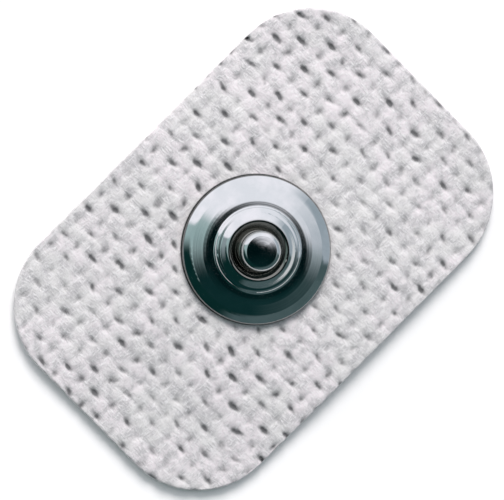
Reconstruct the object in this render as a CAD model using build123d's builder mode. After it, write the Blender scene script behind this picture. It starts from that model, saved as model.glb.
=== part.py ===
from build123d import *
from math import asin, atan2, cos, degrees, tan
import os

# Disposable snap electrode: a cloth patch, a riveted metal snap, a coated sensor and a gel disc.
# Millimetres. The gel's skin face lies on z = 0, the snap points up and the patch is long along X.

# Cloth patch, with its adhesive coat underneath
cloth_length = 45.0
cloth_width = 30.0
cloth_corner_radius = 8.4
cloth_thickness = 0.5

# Gel disc
gel_diameter = 18.0
gel_film = 0.7

# Sensor disc, and clearances round the rivet post on it
sensor_diameter = 13.0
sensor_thickness = 0.6
post_in_cloth = 0.25
post_in_stud = 0.02

# Snap stud, drawn from one sheet. Widths of the rings of its outer skin, from the neck outwards
stud_wall = 0.25
neck_diameter = 3.2
dish_width = 1.4
bead_slope = 0.6
ledge_width = 0.37
step_slope = 0.18
shelf_width = 0.8
flange_diameter = 14.3
rim_width = 0.75
rim_lip = 0.95

# Heights of the same rings, from the cloth up to the head
rim_height = 0.66
rim_rise = 0.47
flange_rise = 0.22
shelf_rise = 0.03
step_rise = 0.24
ledge_rise = 0.04
bead_rise = 0.5
dish_drop = 0.37
neck_height = 0.9
undercut_height = 0.35
land_length = 0.54

# Bends of the outer skin, and the ball head
tight_inside_bend = 0.05
brow_radius = 0.8
crest_radius = 5.5
shelf_root_radius = 0.2
step_root_radius = 0.2
bead_radius = 0.55
neck_foot_radius = 0.35
neck_top_radius = 0.3
head_diameter = 3.9
head_shoulder_radius = 0.55
head_dome_radius = 20.0

# Radii of the rings
neck_radius = neck_diameter / 2
head_radius = head_diameter / 2
flange_radius = flange_diameter / 2
bead_corner = neck_radius + dish_width
step_root = bead_corner + bead_slope
step_corner = step_root + ledge_width
shelf_root = step_corner + step_slope
crest_corner = shelf_root + shelf_width
brow_corner = flange_radius - rim_width

# Levels of the stack, from the skin face up
cloth_bottom = gel_film + sensor_thickness
cloth_top = cloth_bottom + cloth_thickness
rim_level = cloth_top + rim_height
brow_level = rim_level + rim_rise
crest_level = brow_level + flange_rise
shelf_level = crest_level + shelf_rise
step_level = shelf_level + step_rise
step_root_level = step_level + ledge_rise
bead_level = step_root_level + bead_rise
neck_foot_level = bead_level - dish_drop
neck_top_level = neck_foot_level + neck_height
land_level = neck_top_level + undercut_height
shoulder_level = land_level + land_length

# The tightest bends leave a little radius inside the sheet
tight_bend_radius = tight_inside_bend + stud_wall

# The head's shallow dome rolls over, tangent, into its upright land
dome_angle = asin((head_radius - head_shoulder_radius) / (head_dome_radius - head_shoulder_radius))
dome_rise = head_shoulder_radius * cos(dome_angle) + head_dome_radius * (1 - cos(dome_angle))
stud_top = shoulder_level + dome_rise

# The post fills the neck and the head, and its upset tip follows the inside of the head
post_inset = stud_wall + post_in_stud
post_radius = neck_radius - post_inset
upset_radius = head_radius - post_inset
upset_rise = post_inset * tan(atan2(head_radius - neck_radius, undercut_height) / 2)
post_tip_radius = head_shoulder_radius - post_inset
post_top = shoulder_level + post_tip_radius

# Snap stud: one drawn shell, open underneath inside the lip of its curled rim
with BuildPart() as snap_stud:
    with BuildSketch(Plane.XZ):
        with BuildLine():
            dome = JernArc((0, stud_top), (1, 0), head_dome_radius, -degrees(dome_angle))
            shoulder = JernArc(dome @ 1, dome % 1, head_shoulder_radius, degrees(dome_angle) - 90)
            FilletPolyline(
                shoulder @ 1,
                (head_radius, land_level),
                (neck_radius, neck_top_level),
                (neck_radius, neck_foot_level),
                (bead_corner, bead_level),
                (step_root, step_root_level),
                (step_corner, step_level),
                (shelf_root, shelf_level),
                (crest_corner, crest_level),
                (brow_corner, brow_level),
                (flange_radius, rim_level),
                (flange_radius, cloth_top),
                (0, cloth_top),
                radius=[
                    tight_bend_radius,
                    neck_top_radius,
                    neck_foot_radius,
                    bead_radius,
                    step_root_radius,
                    tight_bend_radius,
                    shelf_root_radius,
                    crest_radius,
                    brow_radius,
                    tight_bend_radius,
                    tight_bend_radius,
                ],
            )
            mirror(about=Plane.YZ)
        make_face()
        offset(amount=-stud_wall, mode=Mode.SUBTRACT)
        split(bisect_by=Plane.YZ)
    revolve(axis=Axis.Z)
    with BuildSketch(Plane.XY.offset(cloth_top)):
        Circle(flange_radius - rim_lip)
    extrude(amount=stud_wall, mode=Mode.SUBTRACT)

# Sensor eyelet: a disc under the cloth and a post whose upset tip fills the stud's head
with BuildPart() as sensor_eyelet:
    with BuildSketch(Plane.XZ) as eyelet_profile:
        with BuildLine():
            Polyline(
                (0, gel_film),
                (sensor_diameter / 2, gel_film),
                (sensor_diameter / 2, cloth_bottom),
                (post_radius, cloth_bottom),
                (post_radius, neck_top_level + upset_rise),
                (upset_radius, land_level + upset_rise),
                (upset_radius, post_top),
                (0, post_top),
                close=True,
            )
        make_face()
        tip_corner = eyelet_profile.vertices().group_by(Axis.Y)[-1].sort_by(Axis.X)[-1]
        fillet(tip_corner, post_tip_radius)
    revolve(axis=Axis.Z)

# Cloth backing: a rounded patch, pierced for the post
with BuildPart() as cloth_backing:
    with BuildSketch(Plane.XY.offset(cloth_bottom)):
        RectangleRounded(cloth_length, cloth_width, cloth_corner_radius)
        Circle(post_radius + post_in_cloth, mode=Mode.SUBTRACT)
    extrude(amount=cloth_thickness)

# Gel pad: a soft disc cast round the sensor, flush with the cloth's underside
with BuildPart() as gel_pad:
    with BuildSketch(Plane.XY):
        Circle(gel_diameter / 2)
    extrude(amount=cloth_bottom)
    add(sensor_eyelet.part, mode=Mode.SUBTRACT)

pieces = {
    "snap_stud": snap_stud.part,
    "sensor_eyelet": sensor_eyelet.part,
    "cloth_backing": cloth_backing.part,
    "gel_pad": gel_pad.part,
}

os.makedirs("parts", exist_ok=True)
for node, piece in pieces.items():
    piece.label = node
    export_step(piece, f"parts/{node}.step")
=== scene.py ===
import itertools
import math

import bmesh
import bpy
from mathutils import Matrix, Vector, noise


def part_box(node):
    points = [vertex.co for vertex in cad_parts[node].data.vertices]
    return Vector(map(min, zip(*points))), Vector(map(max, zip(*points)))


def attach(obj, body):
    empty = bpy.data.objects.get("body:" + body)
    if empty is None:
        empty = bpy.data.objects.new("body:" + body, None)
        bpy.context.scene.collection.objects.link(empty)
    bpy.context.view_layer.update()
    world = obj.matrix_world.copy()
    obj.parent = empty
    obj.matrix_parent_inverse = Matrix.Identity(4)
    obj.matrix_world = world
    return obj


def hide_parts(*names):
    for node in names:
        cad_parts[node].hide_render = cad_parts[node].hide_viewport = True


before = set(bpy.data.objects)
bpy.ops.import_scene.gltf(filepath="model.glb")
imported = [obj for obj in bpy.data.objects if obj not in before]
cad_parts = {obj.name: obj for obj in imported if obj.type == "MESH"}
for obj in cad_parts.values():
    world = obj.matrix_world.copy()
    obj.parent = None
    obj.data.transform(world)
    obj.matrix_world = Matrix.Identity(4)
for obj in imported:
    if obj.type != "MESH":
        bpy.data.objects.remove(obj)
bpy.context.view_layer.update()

# Disposable snap electrode: a cloth patch, a metal stud, a coated sensor and gel, seen as in the photograph
# The frame is in metres. Sizes below are in millimetres, shader noise in features a metre, colours linear
MM = 0.001

# Corners, radii and heights of the CAD pieces
cloth_low, cloth_high = (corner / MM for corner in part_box("cloth_backing"))
gel_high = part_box("gel_pad")[1] / MM
sensor_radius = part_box("sensor_eyelet")[1].x / MM
stud_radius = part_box("snap_stud")[1].x / MM
stud_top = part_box("snap_stud")[1].z / MM

# Cloth patch, and how finely its face is divided
half_length = cloth_high.x
half_width = cloth_high.y
corner_radius = 8.4
post_hole = 1.58
columns = 300
straight_rows = 78
corner_rows = 76

# Weave of the cloth: two sets of ribs that cross, pulled a little out of line
column_pitch = 1.7
row_pitch = 1.93
row_slant = 0.05
drift_reach = 0.45
drift_length = 6.0
drift_seed = 4
rib_arch = 0.055
rib_crown = 0.055
rib_squareness = 4

# Slits where the ribs part, and the shallower dimples between them
slit_depth = 0.26
slit_half_width = 0.22
slit_half_length = 0.5
slit_least = 0.55
dimple_least = 0.3
dimple_most = 0.6
dimple_widening = 1.5
dimple_shortening = 1.1
slit_shift = 0.4
slit_lean = 0.5
thread_share = 0.55
thread_length = 0.32
halo_share = 0.25
halo_spread = 2.2
crowding_least = 0.93
crowding_reach = 0.35
crowding_length = 8.0

# Lumps of fibre, the soft swelling of the face, and the pinch under the snap
lump_height = 0.03
lump_length = 0.7
lump_increment = 1.0
lump_lacunarity = 2.0
lump_octaves = 3
puff = 0.04
pinched = 0.08
pinch_width = 0.8

# Layers of the cloth's noise, so that its uses differ from each other
drift_layer = 3
crowding_layer = 5
thread_layer = 9
lump_layer = 11
chance_layer = 0.5
shift_layer = 7.5

# Edge of the patch; each ring of it is a share of the way down and a step outwards
edge_drop = 0.06
edge_drop_width = 0.4
cut_edge_round = 0.06
cut_edge_rings = ((0.25, cut_edge_round), (0.75, 0.0))
edge_fuzz = 0.03
edge_fuzz_length = 0.25

# The way the patch lies
print_through = 0.15
sag = 0.6
sag_span = 13.5
sag_wave = 0.12
sag_wave_length = 9.0

# Gel, poured round the sensor
gel_radius = gel_high.x
sensor_thickness = 0.6
gel_round = 0.4
gel_rim_steps = 9
gel_face_shares = (0.1, 0.25, 0.4, 0.55, 0.7, 0.8, 0.88, 0.93)
gel_bulge = 0.05
gel_clearance = 0.01
gel_ripple = 0.02
gel_ripple_length = 2.0
gel_spokes = 128
gel_sharp_angle = math.radians(50)

# Looks of the cloth; a span is the part of a pattern's range that a change runs over
cloth_warm = (0.775, 0.73, 0.75)
cloth_cool = (0.71, 0.70, 0.695)
cloth_thin = (0.52, 0.51, 0.52)
fibre_colour = (0.79, 0.78, 0.785)
# Painted shade in the slits, the dimples and their halos, deeper the more open they are
slit_shade_colour = (0.15, 0.15, 0.155)
# Painted shade in the crevice where the cloth meets the snap's rim
crease_shade_colour = (0.03, 0.035, 0.035)
tint_scale = 260
tint_span = (0.4, 0.6)
cloud_scale = 900
cloud_span = (0.32, 0.62)
fibre_scale = 2600
fibres_along = (0.7, 2.5, 1)
fibres_across = (2.5, 0.7, 1)
fibre_span = (0.5, 0.75)
fibre_relief = 0.11
slit_shade_span = (0.05, 0.75)
crease_shade_start = stud_radius + 0.14
crease_shade_full = stud_radius + 0.02

# Looks of the stud's plate: smudges and fine turned rings
plate_dull = (0.58, 0.61, 0.62)
plate_bright = (0.68, 0.69, 0.70)
smudge_scale = 420
smudge_span = (0.35, 0.7)
plate_roughness = (0.05, 0.1)
plate_roughness_span = (0.3, 0.75)
ring_scale = 5200
ring_relief = 0.002

# Painted shade on the stud, in the groove round the neck and under the head, a painted dark reflection on
# the head's side, and painted shade at the rim: radii and heights where each starts and where it is full,
# and how strong it gets
groove_shade_colour = (0.19, 0.195, 0.18)
groove_shade_start = 3.05
groove_shade_full = 2.78
head_side_start = stud_top - 0.1
head_side_full = stud_top - 0.33
head_side_shade_share = 0.6
neck_start = stud_top - 1.03
neck_full = stud_top - 1.38
neck_shade_share = 0.4
# Painted shade on the rim's curled edge, where it meets the cloth
rim_shade_colour = (0.17, 0.175, 0.17)
rim_shade_start = stud_radius - 0.15
rim_shade_full = stud_radius - 0.05

# Looks of the sensor
coat_dark = (0.42, 0.41, 0.42)
coat_light = (0.50, 0.485, 0.49)
coat_scale = 500
coat_span = (0.35, 0.65)
coat_roughness = (0.5, 0.7)
grain_scale = 9000
grain_span = (0.3, 0.7)
grain_relief = 0.01

# Looks of the gel
gel_clear = (0.74, 0.84, 0.84)
gel_hazy = (0.84, 0.89, 0.88)
haze_scale = 350
haze_span = (0.35, 0.7)
gel_roughness = (0.08, 0.2)
gel_roughness_span = (0.3, 0.7)
gel_wave_scale = 700
gel_wave_relief = 0.03

# Floor, with a little light of its own that keeps it white
floor_width = 6000.0
floor_low = (0.96, 0.96, 0.96)
floor_high = (0.98, 0.98, 0.98)
floor_scale = 60
floor_span = (0.3, 0.7)
floor_lift = 0.06

# Directions of the photograph: the patch's long side runs from lower left to upper right
image_right = Vector((1, -1, 0)).normalized()
image_up = Vector((1, 1, 0)).normalized()
upward = Vector((0, 0, 1))

# Camera: a long lens, leaning a little to the left of straight above
lens = 600.0
film_width = 36.0
view_width = 48.0
lean = math.radians(8.5)
lean_up = 0.3
lean_left = 0.95
aim_right = -0.355
aim_up = -0.05
clip_near = 10.0
clip_far = 10000.0

# Key lamp
key_azimuth = math.radians(42)
key_elevation = math.radians(43)
key_strength = 2.35
key_spread = math.radians(28)
key_colour = (1.0, 0.95, 0.93)

# Studio: patches laid over a dark room, each as (direction, start and end of its edge that way), colour
room_colour = (0.0, 0.007, 0.008)
studio_patches = {
    "near_side": ((-image_up, 0.05, 0.25), (0.006, 0.034, 0.035)),
    "right_wall": ((image_right + image_up * 0.8, 0.2, 0.42), (0.45, 0.52, 0.55)),
    "left_light": ((image_up * 0.8 - image_right, 0.0, 0.22), (0.45, 0.6, 0.6)),
    "left_flag": ((image_up * -1.2 - image_right * 0.6, 0.25, 0.6), (0.004, 0.03, 0.028)),
    "low_left": ((image_up * 0.5 - image_right - upward, 0.35, 0.75), (0.35, 0.42, 0.44)),
    "low_right": ((image_right - image_up, 0.45, 0.8), (0.09, 0.14, 0.145)),
}

# Window of the studio, dimmer on its right, and the horizon below which all is pale
window = (image_up + image_right * 0.3, 0.045, 0.13)
window_dimming = (image_right - image_up * 0.5, 0.1, 0.6)
window_bright = (1.22, 1.2, 1.27)
window_dim = (0.45, 0.52, 0.58)
horizon = (upward, 0.045, 0.065)
horizon_colour = (0.9, 0.9, 0.91)


def add(tree, kind, values=None, **settings):
    """A new shader node, with its settings and its unlinked input values"""
    node = tree.nodes.new(kind)
    for name, value in settings.items():
        setattr(node, name, value)
    for name, value in (values or {}).items():
        node.inputs[name].default_value = value
    return node


def mix_colours(tree, factor, first, second):
    """Colour output that goes from first to second with factor; each colour is a socket or a tuple"""
    mix = add(tree, "ShaderNodeMix", data_type="RGBA")
    tree.links.new(factor, mix.inputs["Factor"])
    sockets = [socket for socket in mix.inputs if socket.type == "RGBA"]
    for socket, colour in zip(sockets, (first, second)):
        if isinstance(colour, tuple):
            socket.default_value = (*colour, 1)
        else:
            tree.links.new(colour, socket)
    return next(socket for socket in mix.outputs if socket.type == "RGBA")


def combine(tree, operation, first, second):
    """Output of an operation on two outputs"""
    node = add(tree, "ShaderNodeMath", operation=operation)
    tree.links.new(first, node.inputs[0])
    tree.links.new(second, node.inputs[1])
    return node.outputs["Value"]


def ranged(tree, source, low, high, to_low=0.0, to_high=1.0):
    """Output that goes smoothly from to_low to to_high as source goes from low to high"""
    values = {"From Min": low, "From Max": high, "To Min": to_low, "To Max": to_high}
    node = add(tree, "ShaderNodeMapRange", values, interpolation_type="SMOOTHSTEP")
    tree.links.new(source, node.inputs["Value"])
    return node.outputs["Result"]


def new_material(name, **values):
    """A material with its node tree and its shader, whose fixed inputs are given by name"""
    material = bpy.data.materials.new(name)
    material.use_nodes = True
    shader = material.node_tree.nodes["Principled BSDF"]
    for socket, value in values.items():
        shader.inputs[socket.replace("_", " ")].default_value = value
    return material, material.node_tree, shader


def object_noise(tree, scale, detail=2.0, stretch=(1, 1, 1), roughness=0.5):
    """Noise over the object's own coordinates; scale is in features a metre"""
    place = add(tree, "ShaderNodeTexCoord")
    mapping = add(tree, "ShaderNodeMapping", {"Scale": stretch})
    texture = add(tree, "ShaderNodeTexNoise", {"Scale": scale, "Detail": detail, "Roughness": roughness})
    tree.links.new(place.outputs["Object"], mapping.inputs["Vector"])
    tree.links.new(mapping.outputs["Vector"], texture.inputs["Vector"])
    return texture.outputs["Fac"]


def axis_distance(tree):
    """Distance from the snap's axis, in metres"""
    place = add(tree, "ShaderNodeTexCoord")
    flat = add(tree, "ShaderNodeVectorMath", {1: (1, 1, 0)}, operation="MULTIPLY")
    length = add(tree, "ShaderNodeVectorMath", operation="LENGTH")
    tree.links.new(place.outputs["Object"], flat.inputs[0])
    tree.links.new(flat.outputs["Vector"], length.inputs[0])
    return length.outputs["Value"]


def bump(tree, height, distance):
    """Normal output of a bump; distance is in millimetres"""
    node = add(tree, "ShaderNodeBump", {"Distance": distance * MM})
    tree.links.new(height, node.inputs["Height"])
    return node.outputs["Normal"]


def cloth_material():
    """White nonwoven: soft tints and fibres, painted shade in the slits between its ribs, and painted shade
    in the crease round the snap
    """
    material, tree, shader = new_material(
        "cloth", Roughness=0.92, Specular_IOR_Level=0.15, Sheen_Weight=0.15, Sheen_Roughness=0.6
    )
    cool = ranged(tree, object_noise(tree, tint_scale, detail=1.0), *tint_span)
    plain = mix_colours(tree, cool, cloth_warm, cloth_cool)
    cloud = ranged(tree, object_noise(tree, cloud_scale, detail=4.0, roughness=0.65), *cloud_span)
    mottled = mix_colours(tree, cloud, cloth_thin, plain)
    along = object_noise(tree, fibre_scale, detail=3.0, stretch=fibres_along)
    across = object_noise(tree, fibre_scale, detail=3.0, stretch=fibres_across)
    fibres = combine(tree, "MAXIMUM", along, across)
    fibrous = mix_colours(tree, ranged(tree, fibres, *fibre_span), mottled, fibre_colour)
    slit = add(tree, "ShaderNodeAttribute", attribute_name="slit")
    # Painted shade where the ribs part, taken from the slit openings
    slit_shaded = mix_colours(tree, ranged(tree, slit.outputs["Fac"], *slit_shade_span), fibrous, slit_shade_colour)
    # Painted shade in the crease round the snap's rim
    crease_shade_mask = ranged(tree, axis_distance(tree), crease_shade_start * MM, crease_shade_full * MM)
    colour = mix_colours(tree, crease_shade_mask, slit_shaded, crease_shade_colour)
    tree.links.new(colour, shader.inputs["Base Color"])
    tree.links.new(bump(tree, fibres, fibre_relief), shader.inputs["Normal"])
    return material


def plate_with_painted_shade(tree, radius, plate):
    """Colour of the plate, with painted shade in the groove round the neck, a painted dark reflection on
    the head's side and painted shade at the rim
    """
    place = add(tree, "ShaderNodeTexCoord")
    height = add(tree, "ShaderNodeSeparateXYZ")
    tree.links.new(place.outputs["Object"], height.inputs["Vector"])
    inside = ranged(tree, radius, groove_shade_start * MM, groove_shade_full * MM)
    head_side = ranged(
        tree, height.outputs["Z"], head_side_start * MM, head_side_full * MM, to_high=head_side_shade_share
    )
    below_head = ranged(tree, height.outputs["Z"], neck_start * MM, neck_full * MM, to_high=neck_shade_share)
    groove_shade_mask = combine(tree, "MULTIPLY", inside, combine(tree, "ADD", head_side, below_head))
    # Painted shade at the rim's curled edge
    rim_shade_mask = ranged(tree, radius, rim_shade_start * MM, rim_shade_full * MM)
    colour = mix_colours(tree, groove_shade_mask, plate, groove_shade_colour)
    return mix_colours(tree, rim_shade_mask, colour, rim_shade_colour)


def metal_material():
    """Bright nickel plate with fine turned rings and smudges, and painted shade in its groove, on the
    head's side and at its rim
    """
    material, tree, shader = new_material("stud_metal", Metallic=1.0)
    radius = axis_distance(tree)
    smudge = object_noise(tree, smudge_scale, detail=4.0)
    plate = mix_colours(tree, ranged(tree, smudge, *smudge_span), plate_dull, plate_bright)
    rings = add(tree, "ShaderNodeTexNoise", {"Scale": ring_scale, "Detail": 3.0}, noise_dimensions="1D")
    tree.links.new(radius, rings.inputs["W"])
    roughness = ranged(tree, smudge, *plate_roughness_span, *plate_roughness)
    # The plate's colour carries painted shade in the groove and at the rim, and a painted dark reflection
    # on the head's side
    tree.links.new(plate_with_painted_shade(tree, radius, plate), shader.inputs["Base Color"])
    tree.links.new(roughness, shader.inputs["Roughness"])
    tree.links.new(bump(tree, rings.outputs["Fac"], ring_relief), shader.inputs["Normal"])
    return material


def sensor_material():
    """Dull silver and silver chloride coat on the moulded sensor"""
    material, tree, shader = new_material("sensor_coat", Metallic=0.55, Specular_IOR_Level=0.4)
    grain = object_noise(tree, grain_scale, detail=4.0)
    cloud = ranged(tree, object_noise(tree, coat_scale, detail=3.0), *coat_span)
    tree.links.new(mix_colours(tree, cloud, coat_dark, coat_light), shader.inputs["Base Color"])
    tree.links.new(ranged(tree, grain, *grain_span, *coat_roughness), shader.inputs["Roughness"])
    tree.links.new(bump(tree, grain, grain_relief), shader.inputs["Normal"])
    return material


def gel_material():
    """Clear wet hydrogel, faintly blue, with a soft haze and a rippled face"""
    material, tree, shader = new_material("gel", IOR=1.37, Transmission_Weight=0.75)
    haze = object_noise(tree, haze_scale, detail=3.0)
    waves = object_noise(tree, gel_wave_scale)
    colour = mix_colours(tree, ranged(tree, haze, *haze_span), gel_clear, gel_hazy)
    tree.links.new(colour, shader.inputs["Base Color"])
    tree.links.new(ranged(tree, haze, *gel_roughness_span, *gel_roughness), shader.inputs["Roughness"])
    tree.links.new(bump(tree, waves, gel_wave_relief), shader.inputs["Normal"])
    return material


def floor_material():
    """Matt white table top that stays white where no shadow falls"""
    material, tree, shader = new_material("white_floor", Roughness=1.0, Specular_IOR_Level=0.0)
    grain = ranged(tree, object_noise(tree, floor_scale), *floor_span)
    tree.links.new(mix_colours(tree, grain, floor_low, floor_high), shader.inputs["Base Color"])
    rays = add(tree, "ShaderNodeLightPath")
    mirrored = combine(tree, "MAXIMUM", rays.outputs["Is Glossy Ray"], rays.outputs["Is Transmission Ray"])
    seen = combine(tree, "MAXIMUM", rays.outputs["Is Camera Ray"], mirrored)
    shader.inputs["Emission Color"].default_value = (1, 1, 1, 1)
    tree.links.new(ranged(tree, seen, 0, 1, to_high=floor_lift), shader.inputs["Emission Strength"])
    return material


class Surface:
    """Points, slit openings and faces of a mesh while it is being built"""

    def __init__(self):
        self.points, self.openings, self.faces = [], [], []

    def point(self, x, y, z, opening=0.0):
        """Adds a point and gives its number"""
        self.points.append(Vector((x, y, z)) * MM)
        self.openings.append(opening)
        return len(self.points) - 1

    def grid(self, rows):
        """Fills a grid of point numbers with faces"""
        for low, high in zip(rows, rows[1:]):
            for i in range(len(low) - 1):
                self.faces.append((low[i], low[i + 1], high[i + 1], high[i]))

    def band(self, first, second):
        """Joins two closed rings of point numbers"""
        for i in range(len(first)):
            self.faces.append((first[i - 1], first[i], second[i], second[i - 1]))

    def finish(self, name):
        """The finished object, smooth shaded"""
        mesh = bpy.data.meshes.new(name)
        mesh.from_pydata(self.points, [], self.faces)
        mesh.attributes.new("slit", "FLOAT", "POINT").data.foreach_set("value", self.openings)
        mesh.shade_smooth()
        made = bpy.data.objects.new(name, mesh)
        bpy.context.collection.objects.link(made)
        return made


def reach(y):
    """Half the length of the patch's face along X at a given Y"""
    radius = corner_radius - cut_edge_round
    into_corner = max(abs(y) - (half_width - corner_radius), 0.0)
    return half_length - corner_radius + math.sqrt(max(radius**2 - into_corner**2, 0.0))


def from_corner_centre(x, y):
    """How far a point lies past the centre of the nearest rounded corner, along X and Y"""
    return abs(x) - (half_length - corner_radius), abs(y) - (half_width - corner_radius)


def outward(x, y):
    """Direction out of the patch at a point of its outline"""
    past_x, past_y = (max(past, 0.0) for past in from_corner_centre(x, y))
    return Vector((math.copysign(past_x, x), math.copysign(past_y, y), 0)).normalized()


def edge_distance(x, y):
    """How far a point lies inside the patch's outline"""
    past_x, past_y = from_corner_centre(x, y)
    inside = min(max(past_x, past_y), 0.0)
    return corner_radius - math.hypot(max(past_x, 0.0), max(past_y, 0.0)) - inside


def row_places():
    """Y of each row: even steps along the straight side, and even angles round the corners"""
    straight = half_width - corner_radius
    radius = corner_radius - cut_edge_round
    angles = [math.pi / 2 * step / corner_rows for step in range(1, corner_rows + 1)]
    turn = [straight + radius * math.sin(angle) for angle in angles]
    middle = [straight * (2 * step / straight_rows - 1) for step in range(straight_rows + 1)]
    return [-y for y in reversed(turn)] + middle + turn


def lay(x, y):
    """Height that the patch gains at a point: none over the gel, and lower and a little wavy beyond it"""
    free = min(max(math.hypot(x, y) - gel_radius, 0.0) / sag_span, 1.0)
    wave = noise.noise(Vector((x, y, 0)) / sag_wave_length)
    return free**2 * (3 - 2 * free) * (sag_wave * wave - sag)


def weave_place(x, y):
    """A point's place in the weave, counted in ribs across and along"""
    drift = noise.noise_vector(Vector((x, y, drift_layer)) / drift_length) * drift_reach
    return (x + drift.x) / column_pitch, (y + drift.y + row_slant * x) / row_pitch


def ribs(across, along):
    """Height of the ribs, zero or less: each set arches over the other by turns"""
    column, row = math.floor(across), math.floor(along)
    warp = rib_arch * (-1) ** column * math.sin(math.pi * along)
    weft = -rib_arch * (-1) ** row * math.sin(math.pi * across)
    warp_side = rib_crown * (2 * (across - column) - 1) ** rib_squareness
    weft_side = rib_crown * (2 * (along - row) - 1) ** rib_squareness
    return max(warp - warp_side, weft - weft_side) - rib_arch


def slit_shape(dx, dy):
    """Share of a slit's depth at an offset from its middle: a core in a wider halo"""
    spread = (dx / slit_half_width) ** 2 + (dy / slit_half_length) ** 2
    return (1 - halo_share) * math.exp(-spread) + halo_share * math.exp(-spread / halo_spread**2)


def site_chances(site, layer):
    """Three fixed chances of a crossing of the weave, from 0 to 1"""
    return noise.cell_vector(Vector((site[0] + 0.5, site[1] + 0.5, layer)))


def opening_at(across, along):
    """How far the ribs part at a place of the weave, from 0 to 1"""
    column, row = math.floor(across), math.floor(along)
    widest = 0.0
    for site in itertools.product((column, column + 1), (row, row + 1)):
        chance = site_chances(site, chance_layer)
        shift = site_chances(site, shift_layer)
        dx = (across - site[0]) * column_pitch - slit_shift * (shift.x - 0.5)
        dy = (along - site[1]) * row_pitch - slit_shift * (shift.y - 0.5)
        if sum(site) % 2:
            strength = dimple_least + (dimple_most - dimple_least) * chance.x
            dx, dy = dy / dimple_widening, dx * dimple_shortening
        else:
            strength = slit_least + (1 - slit_least) * chance.x
        widest = max(widest, strength * slit_shape(dx + slit_lean * dy * (shift.z - 0.5), dy))
    return widest


def relief(x, y):
    """Height of the cloth's face against its highest ribs, and how open it is there"""
    across, along = weave_place(x, y)
    crowding = noise.noise(Vector((x, y, crowding_layer)) / crowding_length)
    threads = noise.noise(Vector((x, y, thread_layer)) / thread_length)
    lumps = noise.fractal(
        Vector((x, y, lump_layer)) / lump_length, lump_increment, lump_lacunarity, lump_octaves
    )
    strength = (crowding_least + crowding_reach * crowding) * (1 + thread_share * threads)
    opening = strength * opening_at(across, along)
    return ribs(across, along) + lump_height * lumps - slit_depth * opening, opening


def face_point(surface, x, y):
    """Adds a point of the cloth's face, which is pinched under the snap and rounded off at the edge"""
    height, opening = relief(x, y)
    clear_of_stud = min(max((math.hypot(x, y) - stud_radius) / pinch_width, 0.0), 1.0)
    height = math.sqrt(clear_of_stud) * (height + puff + pinched) - pinched
    near_edge = max(1 - edge_distance(x, y) / edge_drop_width, 0.0)
    level = cloth_high.z + height - edge_drop * near_edge**2 + lay(x, y)
    return surface.point(x, y, level, opening * clear_of_stud)


def under_point(surface, x, y):
    """Adds a point of the adhesive side, flat on the gel and faintly ribbed beyond it"""
    free = math.hypot(x, y) > gel_radius
    ribbed = print_through * relief(x, y)[0] if free else 0.0
    return surface.point(x, y, cloth_low.z - ribbed + lay(x, y))


def border(rows):
    """Point numbers round a grid, from its first corner"""
    right = [row[-1] for row in rows]
    left = [row[0] for row in rows]
    return rows[0][:-1] + right[:-1] + rows[-1][:0:-1] + left[:0:-1]


def cut_edge(surface, top, under):
    """Joins the face's border to the coarser one below it by a thin fibrous edge"""
    for share, step_out in cut_edge_rings:
        ring = []
        for number in top:
            x, y, z = surface.points[number] / MM
            out = outward(x, y) * step_out
            fuzz = edge_fuzz * noise.noise(Vector((x, y, share)) / edge_fuzz_length)
            foot = cloth_low.z + lay(x, y)
            ring.append(surface.point(x + out.x, y + out.y, z + (foot - z) * share + fuzz))
        surface.band(top, ring)
        top = ring
    for i in range(len(under)):
        first, middle, last = top[2 * i - 2], top[2 * i - 1], top[2 * i]
        surface.faces += [
            (first, under[i - 1], middle),
            (under[i - 1], under[i], middle),
            (middle, under[i], last),
        ]


def pierce(mesh, radius):
    """Cuts a round hole with a wall through the middle of a mesh, and turns its faces outwards"""
    shape = bmesh.new()
    shape.from_mesh(mesh)
    inside = [vertex for vertex in shape.verts if vertex.co.xy.length < radius]
    bmesh.ops.delete(shape, geom=inside, context="VERTS")
    rims = [edge for edge in shape.edges if edge.is_boundary]
    for vertex in {vertex for edge in rims for vertex in edge.verts}:
        vertex.co.xy *= radius / vertex.co.xy.length
    bmesh.ops.bridge_loops(shape, edges=rims)
    bmesh.ops.recalc_face_normals(shape, faces=shape.faces)
    shape.to_mesh(mesh)
    shape.free()


def make_cloth():
    """The patch: a fine relief on top, a coarser adhesive side below, and a cut edge between them"""
    surface = Surface()
    rows = row_places()
    shares = [2 * column / columns - 1 for column in range(columns + 1)]
    top = [[face_point(surface, reach(y) * share, y) for share in shares] for y in rows]
    under = [[under_point(surface, reach(y) * share, y) for share in shares[::2]] for y in rows[::2]]
    surface.grid(top)
    surface.grid(under)
    cut_edge(surface, border(top), border(under))
    cloth = surface.finish("cloth_patch")
    pierce(cloth.data, post_hole * MM)
    cloth.data.materials.append(cloth_material())
    return cloth


def gel_profile():
    """Radius and height of each ring of the gel, from the skin face round to the sensor's pocket"""
    face = [(gel_radius * share, 0.0) for share in gel_face_shares]
    angles = [math.pi / 2 * step / gel_rim_steps for step in range(gel_rim_steps + 1)]
    rounded = [
        (gel_radius - gel_round * (1 - math.sin(angle)), gel_round * (1 - math.cos(angle)))
        for angle in angles
    ]
    top = gel_high.z - gel_clearance
    pocket_radius = sensor_radius + gel_clearance
    pocket = top - sensor_thickness
    side = [(gel_radius + gel_bulge, gel_high.z / 2), (gel_radius, top), (pocket_radius, top)]
    return face + rounded + side + [(pocket_radius, pocket), (pocket_radius / 2, pocket)]


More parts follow.
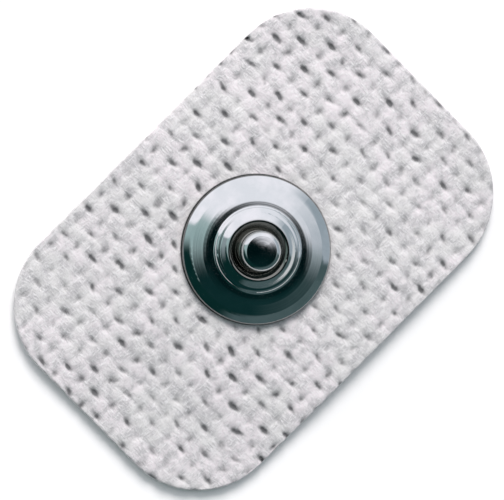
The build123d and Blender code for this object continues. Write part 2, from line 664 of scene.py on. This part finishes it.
def gel_ring(surface, radius, height):
    """Adds a ring of the gel, rippled where it is part of the skin face, and gives its point numbers"""
    ring = []
    for spoke in range(gel_spokes):
        turn = 2 * math.pi * spoke / gel_spokes
        x, y = radius * math.cos(turn), radius * math.sin(turn)
        wave = abs(noise.noise(Vector((x, y, 0)) / gel_ripple_length)) if height == 0.0 else 0.0
        ring.append(surface.point(x, y, height + gel_ripple * wave))
    return ring


def make_gel():
    """Gel disc: a poured form with a rounded rim, a faintly rippled face and a pocket for the sensor"""
    surface = Surface()
    rings = [gel_ring(surface, radius, height) for radius, height in gel_profile()]
    for first, second in zip(rings, rings[1:]):
        surface.band(first, second)
    surface.faces += [tuple(reversed(rings[0])), tuple(rings[-1])]
    gel = surface.finish("gel_disc")
    gel.data.set_sharp_from_angle(angle=gel_sharp_angle)
    gel.data.materials.append(gel_material())
    return gel


def make_floor():
    """White table top, far wider than the view"""
    mesh = bpy.data.meshes.new("floor")
    shape = bmesh.new()
    bmesh.ops.create_grid(shape, x_segments=1, y_segments=1, size=floor_width / 2 * MM)
    shape.to_mesh(mesh)
    shape.free()
    mesh.materials.append(floor_material())
    floor = bpy.data.objects.new("floor", mesh)
    bpy.context.collection.objects.link(floor)


def make_world():
    """Studio round the object: a dark room with patches of light, a white window and a pale horizon"""
    world = bpy.data.worlds.new("studio")
    world.use_nodes = True
    bpy.context.scene.world = world
    tree = world.node_tree
    place = add(tree, "ShaderNodeTexCoord")

    def towards(direction, start, end):
        """Output that rises over the edge of a patch that lies in a direction"""
        dot = add(tree, "ShaderNodeVectorMath", {1: direction}, operation="DOT_PRODUCT")
        tree.links.new(place.outputs["Generated"], dot.inputs[0])
        return ranged(tree, dot.outputs["Value"], start, end)

    room = room_colour
    for patch, colour in studio_patches.values():
        room = mix_colours(tree, towards(*patch), room, colour)
    pane = mix_colours(tree, towards(*window_dimming), window_bright, window_dim)
    room = mix_colours(tree, towards(*window), room, pane)
    room = mix_colours(tree, towards(*horizon), horizon_colour, room)
    tree.links.new(room, tree.nodes["Background"].inputs["Color"])


def make_key():
    """Wide soft lamp from the window's side"""
    lamp = bpy.data.lights.new("key", "SUN")
    lamp.energy = key_strength
    lamp.angle = key_spread
    lamp.color = key_colour
    key = bpy.data.objects.new("key", lamp)
    flat = math.cos(key_elevation)
    to_lamp = Vector((flat * math.cos(key_azimuth), flat * math.sin(key_azimuth), math.sin(key_elevation)))
    key.rotation_euler = to_lamp.to_track_quat("Z", "Y").to_euler()
    key.visible_glossy = False
    bpy.context.collection.objects.link(key)


def make_camera():
    """Camera at the photograph's angle, with the patch where the photograph has it"""
    data = bpy.data.cameras.new("camera")
    data.lens = lens
    data.sensor_width = film_width
    data.clip_start = clip_near * MM
    data.clip_end = clip_far * MM
    camera = bpy.data.objects.new("camera", data)
    sideways = (image_up * lean_up - image_right * lean_left).normalized()
    back = upward * math.cos(lean) + sideways * math.sin(lean)
    right = (image_right - back * image_right.dot(back)).normalized()
    up = back.cross(right)
    distance = view_width * lens / film_width
    aim = upward * cloth_high.z + right * aim_right + up * aim_up
    turn = Matrix((right, up, back)).transposed().to_4x4()
    camera.matrix_world = Matrix.Translation((aim + back * distance) * MM) @ turn
    bpy.context.collection.objects.link(camera)
    bpy.context.scene.camera = camera


def paint(node, material):
    """Gives a CAD node a better material"""
    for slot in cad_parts[node].material_slots:
        slot.material = material


def stand_in(made, node):
    """Lets a made object take the place of a CAD node"""
    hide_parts(node)
    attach(made, "root")


# Without a seed of its own the noise that pulls the weave would differ from run to run
noise.seed_set(drift_seed)
cloth = make_cloth()
stand_in(cloth, "cloth_backing")

gel = make_gel()
stand_in(gel, "gel_pad")

paint("snap_stud", metal_material())
paint("sensor_eyelet", sensor_material())

make_floor()
make_world()
make_key()
make_camera()
bpy.context.scene.view_settings.view_transform = "Standard"
